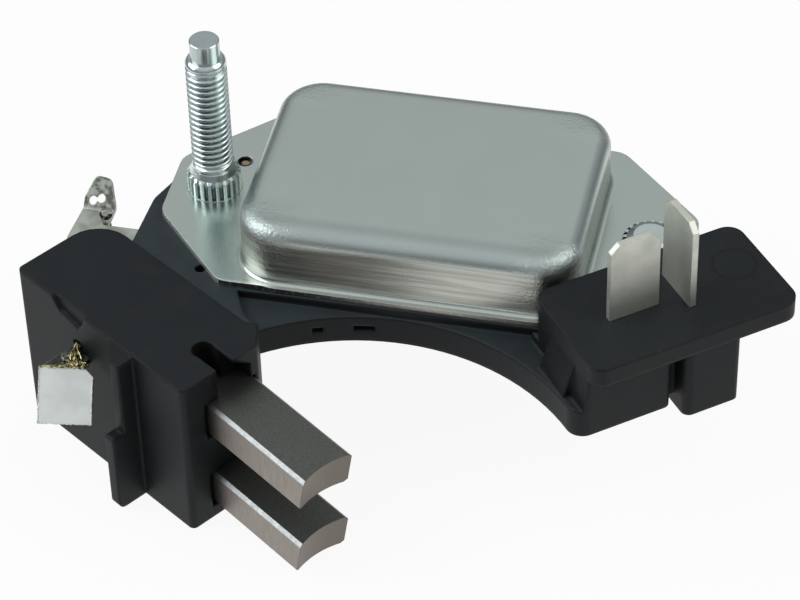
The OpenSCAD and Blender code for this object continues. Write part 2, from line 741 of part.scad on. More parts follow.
// Solder on the eye, over the end of the lower lead
module rear_solder_joint() {
    joint_r = 0.8;
    joint_h = 0.4;
    color([0.62, 0.63, 0.6]) on_eye() translate([eye_joint.x, eye_joint.y, 0])
        cylinder(r1 = joint_r, r2 = joint_r - joint_h, h = joint_h);
}

// One brush whose end reaches the distance reach out of the holder
module brush(reach, z) {
    w = brush_w / 2;
    h = brush_h / 2;
    c = brush_chamfer;
    in_guide() difference() {
        translate([reach - brush_l, guide_y, z]) rotate([90, 0, 90]) linear_extrude(brush_l)
            polygon([[c - w, -h], [w - c, -h], [w, c - h], [w, h - c], [w - c, h], [c - w, h],
                [-w, h - c], [-w, c - h]]);
        translate([reach + sqrt(ring_r * ring_r - w * w), guide_y, z + h]) rotate([0, brush_rake, 0])
            cylinder(r = ring_r, h = 4 * brush_h, center = true, $fn = 120);
        // Socket of the braided lead
        translate([reach - brush_l - over, upper_lead_y, z == upper_z ? upper_lead_z : lower_z])
            rotate([0, 90, 0]) cylinder(d = lead_d + 0.1, h = over + socket_l);
    }
}

module upper_brush() {
    color([0.32, 0.31, 0.3]) brush(upper_reach, upper_z);
}

module lower_brush() {
    color([0.32, 0.31, 0.3]) brush(lower_reach, lower_z);
}

// Height of the coil after the fraction t of its turns, with one closed turn at each end
function coil_rise(t, l) =
    let (n = spring_turns, pitch = (l - 3 * spring_wire) / (n - 2), k = t * n)
    k < 1 ? spring_wire * (k + 0.5) : k < n - 1 ? 1.5 * spring_wire + (k - 1) * pitch
        : l - spring_wire * (n - k + 0.5);

// Coil spring of length l along Z, from z = 0
module coil(l) {
    sides = 6;
    steps = 12 * spring_turns;
    mean = (spring_d - spring_wire) / 2;
    wire = spring_wire / 2;
    points = [for (i = [0:steps], j = [0:sides - 1])
        let (a = 360 * spring_turns * i / steps, b = 360 * j / sides, r = mean + wire * cos(b))
        [r * cos(a), r * sin(a), coil_rise(i / steps, l) + wire * sin(b)]];
    ends = [[for (j = [0:sides - 1]) j], [for (j = [sides - 1:-1:0]) steps * sides + j]];
    faces = [for (i = [0:steps - 1], j = [0:sides - 1]) let (k = (j + 1) % sides)
        [i * sides + j, (i + 1) * sides + j, (i + 1) * sides + k, i * sides + k]];
    polyhedron(points, concat(ends, faces), convexity = 10);
}

module spring_in_guide(reach, z) {
    color([0.75, 0.76, 0.74]) in_guide()
        translate([guide_back + seat_gap, guide_y + spring_offset, z]) rotate([0, 90, 0])
            coil(reach - brush_l - guide_back - 2 * seat_gap);
}

module upper_brush_spring() {
    spring_in_guide(upper_reach, upper_z);
}

module lower_brush_spring() {
    spring_in_guide(lower_reach, lower_z);
}

// A quarter or less of a bend of radius r, which starts at the origin along X and turns to +Y
module bend(r, angle) {
    translate([0, r, 0]) rotate([0, 0, -90]) rotate_extrude(angle = angle)
        translate([r, 0]) circle(d = lead_d);
}

module wire(l) {
    rotate([0, 90, 0]) cylinder(d = lead_d, h = l);
}

// Braided lead from the upper brush into the hole in the outer wall
module upper_brush_lead() {
    start = upper_reach - brush_l + socket_l - seat_gap;
    color([0.6, 0.42, 0.26]) in_guide() translate([start, upper_lead_y, upper_lead_z]) rotate([0, 0, 180]) {
        wire(start - upper_lead_x - lead_bend_r);
        translate([start - upper_lead_x - lead_bend_r, 0, 0]) {
            bend(lead_bend_r, 90);
            translate([lead_bend_r, lead_bend_r, 0]) rotate([0, 0, 90])
                wire(upper_lead_y - lead_bend_r - lead_joint_y);
        }
    }
}

// The same lead outside the wall, laid along the upper edge of the tab
module upper_lead_tail() {
    out = lead_joint_y + 3;
    turn = 45;
    color([0.6, 0.45, 0.28]) in_guide()
        translate([upper_lead_x, lead_joint_y, upper_lead_z]) rotate([0, 0, -90]) {
            wire(out);
            translate([out, 0, 0]) mirror([0, 1, 0]) {
                bend(lead_bend_r, turn);
                translate([lead_bend_r * sin(turn), lead_bend_r * (1 - cos(turn)), 0]) rotate([0, 0, turn])
                    wire(1.8);
            }
        }
}

module lower_brush_lead() {
    start = lower_reach - brush_l + socket_l - seat_gap;
    color([0.6, 0.42, 0.26]) in_guide()
        translate([guide_back - 1, upper_lead_y, lower_z]) wire(start - guide_back + 1);
}

// The lower lead behind the holder, up to the underside of the soldering eye
module lower_lead_tail() {
    start = guide_xy(guide_back - 1, upper_lead_y);
    at = [-holder_l - 1, start.y];
    end = from_holder([tongue_x + eye_joint.x, tongue_y + eye_joint.y * cos(eye_slant)]) - at;
    top = strip_top + eye_joint.y * sin(eye_slant) - blade_t / cos(eye_slant)
        - tan(eye_slant) * lead_d / 2 - insert_gap;
    r = lead_bend_r;
    climb = top - lower_z - 3 * r - lead_rise;
    across = norm(end) - 2 * r;
    color([0.6, 0.45, 0.28]) in_holder() translate([at.x, at.y, lower_z]) {
        translate([r, 0, 0]) wire(start.x - at.x - r);
        translate([r, 0, 0]) rotate([90, 0, 180]) bend(r, 90);
        translate([0, 0, r]) rotate([0, -90, 0]) wire(climb);
        // Turned towards the eye
        translate([0, 0, r + climb]) rotate([0, 0, -atan2(end.x, end.y)]) {
            rotate([0, -90, 0]) bend(r, 90);
            translate([0, r, r]) rotate([0, 0, 90]) wire(across);
            translate([0, r + across, r]) rotate([90, 0, 90]) bend(r, 90);
            translate([0, norm(end), 2 * r]) rotate([0, -90, 0]) wire(lead_rise);
        }
    }
}

// Solder between the stem of the tab and the lead that lies over it
module tab_solder() {
    puddle_r = 1.1;
    color([0.62, 0.6, 0.5]) in_holder() translate([upper_lead_x - 0.3, -puddle_r - 0.3, tab_top])
        cylinder(r1 = puddle_r, r2 = puddle_r - 0.15, h = upper_lead_z - lead_d / 2 - tab_top);
}

module on_ceramic(x, y) {
    translate([middle_x + x, ceramic_y + y, ceramic_top]) children();
}

module block(l, w, h) {
    translate([-l / 2, -w / 2, 0]) cube([l, w, h]);
}

module ceramic_substrate() {
    color([0.9, 0.89, 0.84]) translate([0, 0, -ceramic_t]) on_ceramic(0, 0)
        block(ceramic_l, ceramic_w, ceramic_t);
}

// A moulded package with count flat leads on each long side
module package(l, w, h, count, pitch) {
    translate([0, 0, part_lead_t]) block(l, w, h);
    for (i = [0:count - 1], s = [-1, 1])
        translate([(i - (count - 1) / 2) * pitch, s * (w / 2 + 0.4), 0]) {
            block(0.45, 1.2, part_lead_t);
            translate([0, -s * 0.475, 0]) block(0.45, part_lead_t, h / 2 + part_lead_t);
        }
}

module regulator_chip() {
    color([0.12, 0.12, 0.13]) on_ceramic(-6, -2.5) package(chip_size.x, chip_size.y, chip_size.z, 4, 1.27);
}

module power_transistor() {
    plate_t = 0.5;
    plate_w = 1.5 * transistor_size.y;
    lead_l = 1.8;
    color([0.14, 0.14, 0.15]) on_ceramic(6.2, 2.6) {
        block(transistor_size.x + 0.4, plate_w, plate_t);
        translate([0, -1, plate_t]) block(transistor_size.x, transistor_size.y, transistor_size.z);
        for (x = [-1, 0, 1]) translate([x * transistor_size.x * 0.35, -(plate_w + lead_l) / 2 + 0.4, 0])
            block(0.7, lead_l, plate_t);
    }
}

module freewheel_diode() {
    end_l = 0.7;
    color([0.16, 0.16, 0.17]) on_ceramic(-7.4, 5) {
        translate([0, 0, part_lift]) block(diode_size.x, diode_size.y, diode_size.z);
        for (s = [-1, 1]) translate([s * (diode_size.x + end_l) / 2 - s * 0.2, 0, 0])
            block(end_l, diode_size.y * 0.55, diode_size.z / 2);
    }
}

module filter_capacitor() {
    end_w = 0.6;
    color([0.75, 0.55, 0.2]) on_ceramic(-0.3, 5) {
        translate([0, 0, part_lift]) block(capacitor_size.x, capacitor_size.y, capacitor_size.z);
        for (s = [-1, 1]) translate([0, s * (capacitor_size.y + end_w) / 2 - s * 0.2, 0])
            block(capacitor_size.x * 0.6, end_w, capacitor_size.z / 2);
    }
}

// A ceramic chip whose end caps wrap over it
module chip(size) {
    cap_t = 0.05;
    cap_l = 0.5;
    translate([0, 0, cap_t]) block(size.x - 0.2, size.y - 2 * cap_t, size.z - 2 * cap_t);
    for (s = [-1, 1]) translate([s * (size.x - cap_l) / 2, 0, 0]) block(cap_l, size.y, size.z);
}

module chip_capacitor() {
    color([0.68, 0.56, 0.42]) on_ceramic(-0.6, -2.6) chip(chip_capacitor_size);
}

module chip_resistors() {
    color([0.2, 0.2, 0.22]) for (x = [-0.28, -0.08, 0.31]) on_ceramic(x * ceramic_l, resistor_row_y)
        chip(resistor_size);
}

// Arched ribbons from the ends of the strips to the ceramic
module bond_ribbons() {
    color([0.8, 0.81, 0.82]) for (w = windows)
        translate([w.x + sign(middle_x - w.x) * ribbon_span / 2, w.y + ribbon_w / 2, ceramic_top])
            rotate([90, 0, 0]) rotate_extrude(angle = 180) translate([ribbon_span / 2 - ribbon_t, 0])
                square([ribbon_t, ribbon_w]);
}

housing();
cover();
base_plate();
mounting_stud();
splined_rivet();
front_blade_terminal();
rear_blade_terminal();
brush_tab_terminal();
tab_solder();
rear_terminal_strip();
rear_solder_joint();
upper_brush();
lower_brush();
upper_brush_spring();
lower_brush_spring();
upper_brush_lead();
lower_brush_lead();
upper_lead_tail();
lower_lead_tail();
ceramic_substrate();
regulator_chip();
power_transistor();
freewheel_diode();
filter_capacitor();
chip_capacitor();
chip_resistors();
bond_ribbons();
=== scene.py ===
# %% [markdown]
# # An alternator's voltage regulator
# The part has a plated cover over its circuit, a black moulding that holds two carbon brushes,
# a threaded stud and a few tinned terminals. Its solids come from a CAD model. This lesson
# gives each surface its finish, adds what is too fine for the solids, such as the thread and
# the frayed lead, and lights the part plainly on a white floor.

# %% Load the solids
import math
import random
import bpy
from mathutils import Matrix, Vector


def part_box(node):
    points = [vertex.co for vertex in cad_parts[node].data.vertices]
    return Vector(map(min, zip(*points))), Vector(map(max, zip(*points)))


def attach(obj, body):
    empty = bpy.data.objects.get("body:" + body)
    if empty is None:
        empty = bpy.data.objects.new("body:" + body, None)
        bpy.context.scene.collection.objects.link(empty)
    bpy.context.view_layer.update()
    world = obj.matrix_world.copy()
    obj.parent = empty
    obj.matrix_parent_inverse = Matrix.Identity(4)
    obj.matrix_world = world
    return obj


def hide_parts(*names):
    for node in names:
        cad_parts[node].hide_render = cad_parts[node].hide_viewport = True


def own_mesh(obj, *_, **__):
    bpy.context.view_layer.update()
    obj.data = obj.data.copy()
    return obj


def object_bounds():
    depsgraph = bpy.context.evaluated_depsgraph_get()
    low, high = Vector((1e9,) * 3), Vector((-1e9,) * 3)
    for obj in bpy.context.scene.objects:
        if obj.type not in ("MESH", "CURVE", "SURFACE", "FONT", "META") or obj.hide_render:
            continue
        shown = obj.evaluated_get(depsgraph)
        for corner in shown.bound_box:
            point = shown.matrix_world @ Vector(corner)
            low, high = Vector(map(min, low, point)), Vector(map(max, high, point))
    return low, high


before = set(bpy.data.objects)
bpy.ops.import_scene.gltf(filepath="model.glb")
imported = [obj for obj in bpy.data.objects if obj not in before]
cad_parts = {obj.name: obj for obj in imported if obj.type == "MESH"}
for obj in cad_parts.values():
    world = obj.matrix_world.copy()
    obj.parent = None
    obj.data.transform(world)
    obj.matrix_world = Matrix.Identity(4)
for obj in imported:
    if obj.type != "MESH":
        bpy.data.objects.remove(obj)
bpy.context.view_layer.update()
MM = 0.001

# %% [markdown]
# ## The camera
# The part was photographed from the front, a little to the right and well above it, with a
# long lens. Two angles and a small roll give that direction, so the camera's three axes are
# worked out once and written into its matrix. A Track To constraint would also aim it, but it
# can't hold the roll.

# %% Camera
LOOKS_AT = Vector((26.3, -15.956, 0)) * MM
DISTANCE = 381.44 * MM
TURN, RISE, ROLL = (math.radians(v) for v in (13.457, 42.088, -1.66))

back = Vector((math.sin(TURN) * math.cos(RISE), -math.cos(TURN) * math.cos(RISE), math.sin(RISE)))
level = Vector((math.cos(TURN), math.sin(TURN), 0))
steep = back.cross(level)
right = level * math.cos(ROLL) + steep * math.sin(ROLL)
up = steep * math.cos(ROLL) - level * math.sin(ROLL)
axes = Matrix((right, up, back)).transposed().to_4x4()
camera = bpy.data.objects.new("camera", bpy.data.cameras.new("camera"))
camera.matrix_world = Matrix.Translation(LOOKS_AT + back * DISTANCE) @ axes
camera.data.lens = 148.55
camera.data.sensor_width = 36
camera.data.clip_start = 0.01
bpy.context.collection.objects.link(camera)
bpy.context.scene.camera = camera
print("camera at", [round(v / MM, 1) for v in camera.location], "mm")

# %% [markdown]
# ## Shader maths as Python
# A finish is a tree of nodes. Wiring a tree by hand is slow to read, so one small class wraps
# a socket and gives it Python's operators: `1 - mask * 0.5` then adds the two Math nodes.
# Every other node comes from one method that takes its type, its settings and its sockets.


# %% A socket with operators
class Wire:
    """One output socket of a tree, on which Python's operators add Math nodes."""

    def __init__(self, tree, socket):
        self.tree, self.socket = tree, socket

    def math(self, operation, *values):
        return self.tree.node("Math", {"operation": operation}, dict(enumerate(values)))

    def __add__(self, other):
        return self.math("ADD", self, other)

    def __sub__(self, other):
        return self.math("SUBTRACT", self, other)

    def __rsub__(self, other):
        return self.math("SUBTRACT", other, self)

    def __mul__(self, other):
        return self.math("MULTIPLY", self, other)

    def __neg__(self):
        return self * -1

    def __abs__(self):
        return self.math("ABSOLUTE", self)

    __radd__, __rmul__ = __add__, __mul__

    def ramp(self, low, high):
        """0 below low, 1 above high, and smooth between them."""
        values = {"Value": self, "From Min": low, "From Max": high}
        return self.tree.node("MapRange", {"interpolation_type": "SMOOTHSTEP"}, values)


# %% A tree of nodes
class Tree:
    """A node tree, with one method that adds any node and a few that use it."""

    def __init__(self, tree):
        self.tree = tree

    def plug(self, socket, value):
        """Links a wire to a socket, or writes a value into it."""
        if isinstance(value, Wire):
            self.tree.links.new(value.socket, socket)
        else:
            socket.default_value = value

    def node(self, kind, settings=None, values=None, out=0):
        """Adds a node, sets it up, fills its sockets and returns one of its outputs."""
        node = self.tree.nodes.new("ShaderNode" + kind)
        for name, value in (settings or {}).items():
            if name == "stops":
                for place, _ in value[2:]:
                    node.color_ramp.elements.new(place)
                for stop, (place, tone) in zip(node.color_ramp.elements, value):
                    stop.position, stop.color = place, (*tone, 1)
            else:
                setattr(node, name, value)
        for name, value in (values or {}).items():
            self.plug(node.inputs[name], value)
        return Wire(self, node.outputs[out])

    def tint(self, mask, first, second):
        """The first colour where the mask is 0 and the second where it is 1."""
        first, second = (c if isinstance(c, Wire) else (*c, 1) for c in (first, second))
        return self.node("Mix", {"data_type": "RGBA"}, {0: mask, 6: first, 7: second}, out=2)

    def axis(self, vector, name):
        """One number of a vector."""
        return self.node("SeparateXYZ", {}, {0: vector}, out=name)

    def dot(self, first, second):
        """How far one vector reaches along another."""
        return self.node("VectorMath", {"operation": "DOT_PRODUCT"}, {0: first, 1: second}, out="Value")

    def distance(self, first, second):
        """How far one point is from another."""
        return self.node("VectorMath", {"operation": "DISTANCE"}, {0: first, 1: second}, out="Value")


# %% Colours as the eye reads them
def colour(red, green, blue):
    """A screen colour, from 0 to 255, as the light that a shader needs."""
    return tuple(((v / 255 + 0.055) / 1.055) ** 2.4 for v in (red, green, blue))


print("middle grey as light:", round(colour(128, 128, 128)[0], 3))


# %% [markdown]
# ## What a finish is made of
# Real surfaces are never one flat colour. Each finish here starts from Blender's Principled
# shader and adds noise at the size of what it shows: grain at a tenth of a millimetre, haze at
# a few. A Bevel node tells where the edges are and softens them for the light, so the meshes
# stay as they are. All lengths are in millimetres and all noise sits in the part's own space,
# so nothing slides over the surface when the camera moves.


# %% A finish
NEAR_FADE = 0.12


class Finish(Tree):
    """A material, with helpers for what its surface does."""

    def __init__(self, name, **fixed):
        self.material = bpy.data.materials.new(name)
        self.material.use_nodes = True
        super().__init__(self.material.node_tree)
        self.shader = self.tree.nodes["Principled BSDF"]
        self.set(**fixed)
        metres = self.node("TexCoord", out="Object")
        self.place = self.node("VectorMath", {"operation": "SCALE"}, {0: metres, "Scale": 1 / MM})
        self.normal = self.node("NewGeometry", out="Normal")

    def set(self, **values):
        """Fills the shader's own sockets."""
        for name, value in values.items():
            self.plug(self.shader.inputs[name.replace("_", " ")], value)

    def facing(self, name):
        """How far the surface faces along an axis, from -1 to 1."""
        return self.axis(self.normal, name)

    def noise(self, size, detail=3, stretch=(1, 1, 1), offset=0, rough=0.5, wander=0):
        """Clouds from 0 to 1, whose lumps are about size across."""
        scale = [s / size for s in stretch]
        moved = {"Vector": self.place, "Scale": scale, "Location": [offset] * 3}
        values = {"Vector": self.node("Mapping", {}, moved), "Scale": 1.0, "Detail": detail}
        values |= {"Roughness": rough, "Distortion": wander}
        return self.node("TexNoise", {}, values)

    def rounded(self, radius):
        """The normal of edges that look rounded to a radius."""
        return self.node("Bevel", {"samples": 6}, {"Radius": radius * MM}, out="Normal")

    def edges(self, radius):
        """1 on sharp edges, and the normal of edges rounded to that radius."""
        rounded = self.rounded(radius)
        return (1 - self.dot(rounded, self.normal)).ramp(0.01, 0.22), rounded

    def near(self, point, reach):
        """1 within the reach of a point, with a rim that fades."""
        return 1 - self.distance(self.place, point).ramp(reach - NEAR_FADE, reach + NEAR_FADE)

    def bumps(self, height, depth, normal):
        """Relief of the given depth for a height from 0 to 1, on top of a normal."""
        values = {"Height": height, "Distance": depth * MM, "Strength": 1.0, "Normal": normal}
        return self.node("Bump", {}, values)


def wear(finish, *names):
    """Gives one finish to several of the CAD's pieces."""
    for name in names:
        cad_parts[name].material_slots[0].material = finish.material
    print(finish.material.name, "on", ", ".join(names))


# %% [markdown]
# ## The black moulding
# The housing is pressed from a glass-filled phenolic compound. It leaves the tool as a satin
# blue-black with a fine grain and a few brownish clouds where the resin flowed. Dust lies on
# the web, where no plug wipes it off. The edges are painted a little lighter in broken patches,
# a painted highlight, and the upright walls are painted darker, as shade. The walls of the
# keyhole over the upper guide are painted near black and made rougher, as the shade inside it.
# A disc of the tool, pushed out to free the part, left a faint ring on top of the connector,
# for which a ring of tone and bump is enough.

# %% Moulding finish
PLUG_AT = Vector((51.5, -29.5, 0))
PLUG_TURN = math.radians(38.5)
EJECTOR_MARK = PLUG_AT + Matrix.Rotation(PLUG_TURN, 3, "Z") @ Vector((22.8, 8.85, 5.3))
MARK_R, MARK_W = 2.7, 0.35
WEB_MIDDLE, WEB_REACH = (26, -8, 0), 36
WEB_FROM, WEB_TO = -4, -0.66
HOLDER_AT = Vector((5.3, -35.3, 0))
HOLDER_TURN = Matrix.Rotation(math.radians(-34.2), 3, "Z")
KEYHOLE_AT, KEYHOLE_REACH = HOLDER_AT + HOLDER_TURN @ Vector((-2.4, 6.45, -2)), 3.2

moulding = Finish("black_moulding", IOR=1.32)
edge, soft_normal = moulding.edges(0.6)
grain = moulding.noise(0.16, detail=4)
flow = moulding.noise(9)
brown = moulding.noise(3.5, detail=5, offset=5).ramp(0.52, 0.72)
dust = moulding.noise(0.5, detail=5, rough=0.7, offset=7).ramp(0.58, 0.8)
ring = moulding.near(EJECTOR_MARK, MARK_R) - moulding.near(EJECTOR_MARK, MARK_R - MARK_W)
wall = 1 - abs(moulding.facing("Z")).ramp(0.3, 0.8)
# Painted shade: the keyhole's walls are near black.
keyhole_shade = wall * moulding.near(KEYHOLE_AT, KEYHOLE_REACH)

height = moulding.axis(moulding.place, "Z")
on_web = height.ramp(WEB_FROM, WEB_FROM + 1) * (1 - height.ramp(WEB_TO, WEB_TO + 0.06))
on_web = on_web * moulding.facing("Z").ramp(0.8, 0.95) * moulding.near(WEB_MIDDLE, WEB_REACH)
web_dust = on_web * (0.5 + moulding.noise(2.5, detail=4) * 0.7)

tone = moulding.tint(flow, colour(17, 22, 25), colour(24, 29, 32))
tone = moulding.tint(brown * 0.25, tone, colour(38, 35, 34))
tone = moulding.tint(web_dust * 0.8, tone, colour(46, 55, 58))
tone = moulding.tint(dust * 0.12, tone, colour(96, 98, 100))
# Painted highlight: the edges are lighter in broken patches.
tone = moulding.tint(edge * dust * 0.5, tone, colour(96, 99, 103))
tone = moulding.tint(ring * 0.6, tone, colour(6, 7, 9))
# Painted shade: the upright walls are darker.
tone = moulding.tint(wall * 0.55, tone, colour(6, 8, 10))
moulding.set(
    Base_Color=moulding.tint(keyhole_shade, tone, colour(2, 2, 3)),
    Roughness=0.46 + grain * 0.16 + dust * 0.08 + keyhole_shade * 0.3,
    Normal=moulding.bumps(grain + flow * 0.6 + ring * 0.8, 0.035, soft_normal))
wear(moulding, "housing")

# %% [markdown]
# ## The plated sheet
# The cover is drawn from tinned sheet steel. The punch left its flats satin and even. Each
# wall slid through the die, which drew level, slightly wavy streaks round it and left it
# duller. The walls are also painted darker and browner, a painted reflection, and the rounded
# top edge and a strip of the flat along the front are painted bluer and darker, a painted
# reflection too. At the four corners the sheet was squeezed most, and its skin crinkled like
# orange peel. The flange was cut out afterwards. A painted highlight runs along its front, and
# the torn edge under it is painted dark at the left end, as shade, and browner to the right,
# with painted glints and a painted highlight where it faces left. Painted glints also run along
# the sheet's sharp edges. The bore round the rivet is painted dark, as the shade in the gap
# round it. Masks from the part's own places put each of these where it belongs. A second,
# wider Bevel makes the drawn top edge roll over as softly as thick sheet.

# %% Masks on the cover
CAN_MIDDLE, CORNER_AT = (26.5, -1.2), (14.9, 9.4)
FOOT, EDGE_FROM, FLAT_FROM = 0.2, 3, 7
RIM_FROM, FRONT_FROM = 16.1, 12
SHADED_TO, BROWN_FROM = 12, 30
RIVET_AT, BORE_REACH = (53, 0, -0.35), 3.6

plate = Finish("plated_sheet", Metallic=1.0)
along, across, height = (plate.axis(plate.place, name) for name in "XYZ")
upright = 1 - abs(plate.facing("Z")).ramp(0.05, 0.4)
cut = upright * (1 - height.ramp(-0.1, 0.1))
wall = upright * height.ramp(FOOT, FOOT + 0.3)
shaded_bore = upright * plate.near(RIVET_AT, BORE_REACH)
rim = (-across).ramp(RIM_FROM, RIM_FROM + 0.4) * (1 - height.ramp(0.1, 0.3)) * (1 - upright)
top_edge = height.ramp(EDGE_FROM + 1.5, EDGE_FROM + 3) * (1 - wall)
top_edge = top_edge * (1 - plate.facing("Z").ramp(0.9, 0.99))
front = (-across).ramp(FRONT_FROM, FRONT_FROM + 1.6) * height.ramp(FLAT_FROM, FLAT_FROM + 0.6)
front = front * (1 - top_edge)
corner = abs(along - CAN_MIDDLE[0]).ramp(CORNER_AT[0] - 4, CORNER_AT[0] + 1.5)
corner = corner * abs(across - CAN_MIDDLE[1]).ramp(CORNER_AT[1] - 1, CORNER_AT[1] + 1.5)
corner = corner * height.ramp(FOOT + 0.6, EDGE_FROM)
print("masks on the cover take", len(plate.tree.nodes), "nodes")

# %% Cover finish
edge, sheet_normal = plate.edges(0.1)
to_top = {0: height.ramp(EDGE_FROM, EDGE_FROM + 1.5), 4: sheet_normal, 5: plate.rounded(1.3)}
soft_normal = plate.node("Mix", {"data_type": "VECTOR"}, to_top, out=1)
haze = plate.noise(6, detail=4)
fine = plate.noise(0.22, detail=2)
crinkle = plate.noise(0.36, detail=4, rough=0.6)
streaks = plate.noise(1, detail=4, stretch=(0.06, 0.06, 2.4), rough=0.65, wander=0.5)
painted_glints = plate.noise(0.45, detail=3, offset=2).ramp(0.5, 0.62)

# The cut edge: painted shade at its left end, browner to the right, with painted glints and a painted
# highlight where it faces left.
torn = plate.tint(along.ramp(SHADED_TO, BROWN_FROM), colour(62, 70, 74), colour(170, 164, 156))
torn = plate.tint(painted_glints * 0.3, torn, colour(206, 202, 196))
torn = plate.tint((-plate.facing("X")).ramp(0.3, 0.5), torn, colour(236, 240, 238))
# The walls' streaks are real. Their darker, browner tone is a painted reflection.
drawn = plate.tint(streaks.ramp(0.35, 0.68), colour(156, 155, 147), colour(198, 198, 190))
tone = plate.tint(haze, colour(189, 200, 194), colour(196, 206, 200))
tone = plate.tint(wall * 0.85, tone, drawn)
# Painted reflection: the rounded top edge and a strip of the flat along the front are bluer and darker.
tone = plate.tint(top_edge * 0.7, tone, colour(174, 186, 186))
tone = plate.tint(front * 0.45, tone, colour(158, 170, 172))
# Painted highlight along the front edge of the flange's top.
tone = plate.tint(rim * 0.8, tone, colour(242, 246, 246))
tone = plate.tint(cut * 0.9, tone, torn)
# Painted shade in the bore round the rivet.
tone = plate.tint(shaded_bore, tone, colour(22, 25, 27))

relief = fine * 0.16 + (corner * 0.95 + top_edge * 0.2) * crinkle + wall * streaks * 0.12
plate.set(
    # Painted glints along the sharp edges.
    Base_Color=plate.tint(edge * painted_glints * (0.8 - cut * 0.6), tone, colour(238, 241, 240)),
    Roughness=0.2 + haze * 0.06 + wall * streaks * 0.16 + corner * 0.06 + cut * 0.25,
    Normal=plate.bumps(relief, 0.1, soft_normal))
wear(plate, "cover")

# %% [markdown]
# ## Heat sink and rivet
# The base plate under the cover is rolled sheet, which keeps long faint roll marks. The rivet
# is zinc plated, and plating settles in soft blotches. Stretched noise gives the first and
# plain clouds the second. The thin ribbons of the circuit are as bright and share the zinc.

# %% Heat sink and rivet finishes
heat_sink = Finish("rolled_plate", Metallic=1.0)
edge, soft_normal = heat_sink.edges(0.1)
rolled = heat_sink.noise(0.3, detail=4, stretch=(0.1, 1, 1))
heat_sink.set(
    Base_Color=heat_sink.tint(rolled, colour(120, 124, 124), colour(170, 174, 173)),
    Roughness=0.3 + rolled * 0.15,
    Normal=heat_sink.bumps(rolled, 0.01, soft_normal))
wear(heat_sink, "base_plate")


def zinc_plate(name, radius, dark=None):
    """Bright zinc: a bluish green metal in soft blotches, darker where a mask says so."""
    finish = Finish(name, Metallic=1.0)
    blotches = finish.noise(1.3, detail=4)
    tone = finish.tint(blotches, colour(194, 210, 210), colour(222, 231, 231))
    if dark:
        tone = finish.tint(dark(finish), tone, colour(62, 72, 76))
    finish.set(
        Base_Color=tone,
        Roughness=0.15 + blotches * 0.1,
        Normal=finish.bumps(finish.noise(0.25), 0.006, finish.rounded(radius)))
    return finish


wear(zinc_plate("rivet_zinc", 0.08), "splined_rivet", "bond_ribbons")

# %% [markdown]
# ## Tinned terminals
# The blades, the soldering tab and the strip with its eye are stamped from tinned brass. Tin
# dulls in clouds and takes scratches along the strip. The tool tore the cut edges, which are
# left rough. Solder has smeared the eye, and the stem of the tab behind the lead is much
# darker. One function makes them all, because only their tones differ.


# %% Tinned finishes
TAB_AT = Vector((-11, -27.75, -6.5))
TAB_TURN = Matrix.Rotation(math.radians(8.8), 3, "Z")
TONGUE_Z = -3
TORN_TIN = colour(240, 238, 228)


def tinned(name, bright, dull, tear=0.5, rough=0.28, patch=None, rim=TORN_TIN):
    """Tinned strip: dull clouds, fine scratches, torn edges and a patch of other tones."""
    finish = Finish(name, Metallic=1.0)
    edge, soft_normal = finish.edges(0.16)
    clouds = finish.noise(2.4, detail=5)
    scratches = finish.noise(0.12, detail=3, stretch=(1, 1, 0.06))
    torn = finish.noise(0.3, detail=4, offset=4).ramp(0.4, 0.6)
    tone = finish.tint(clouds.ramp(0.3, 0.7), bright, dull)
    if patch:
        where, dark, light = patch
        smears = finish.noise(0.8, detail=4, offset=9).ramp(0.38, 0.62)
        tone = finish.tint(where(finish), tone, finish.tint(smears, dark, light))
    relief = scratches * 0.12 + clouds * 0.08 + edge * torn * tear
    finish.set(
        Base_Color=finish.tint(edge * (0.25 + torn * 0.65), tone, rim),
        Roughness=rough + clouds * 0.14 + scratches * 0.08,
        Normal=finish.bumps(relief, 0.06, soft_normal))
    return finish


def eye(finish):
    """1 on the soldering eye, which slants up from the level tongue."""
    return abs(finish.axis(finish.place, "Z") - TONGUE_Z).ramp(0.45, 0.7) * 0.9


def stem(finish):
    """1 on the tab's stem, between the holder and the tab's upper edge."""
    behind = TAB_TURN @ Vector((0, 1, 0))
    tab = TAB_AT.dot(behind)
    return finish.dot(finish.place, behind).ramp(tab + 0.15, tab + 0.4) * 0.92


dull_rim = colour(176, 176, 166)
blade_tin = tinned("blade_tin", colour(226, 228, 218), colour(212, 215, 206),
                   rough=0.42, rim=dull_rim)
wear(blade_tin, "front_blade_terminal", "rear_blade_terminal")
# The stem of the tab behind the lead is much darker.
dark_stem = (stem, colour(34, 34, 32), colour(74, 72, 64))
tab_tin = tinned("tab_tin", colour(232, 236, 232), colour(220, 225, 221),
                 tear=1.2, rough=0.42, patch=dark_stem)
wear(tab_tin, "brush_tab_terminal")
smeared = (eye, colour(80, 86, 76), colour(164, 170, 160))
strip_tin = tinned("strip_tin", colour(204, 210, 200), colour(164, 170, 160),
                   rough=0.34, patch=smeared)
wear(strip_tin, "rear_terminal_strip")

# %% [markdown]
# ## The brushes
# A brush is pressed from copper and graphite powder. Its upper face is speckled with graphite
# and painted darker than its sides, as shade. Its sides show warm copper with fine marks of the
# press. A bright stripe along the upper edge of the outer side is a painted highlight, and the
# slip ring has worn the end to a dull brown. A painted shadow darkens the brush where it leaves
# the holder. The stripe follows each brush's own height, which the frame gives, so each brush
# has its own finish.


# %% Brush finishes
GUIDE_TURN = Matrix.Rotation(math.radians(-2.5), 3, "Z")
SLIDE, OUTER = (HOLDER_TURN @ GUIDE_TURN @ Vector(v) for v in ((1, 0, 0), (0, -1, 0)))
MOUTH = HOLDER_AT.dot(SLIDE)


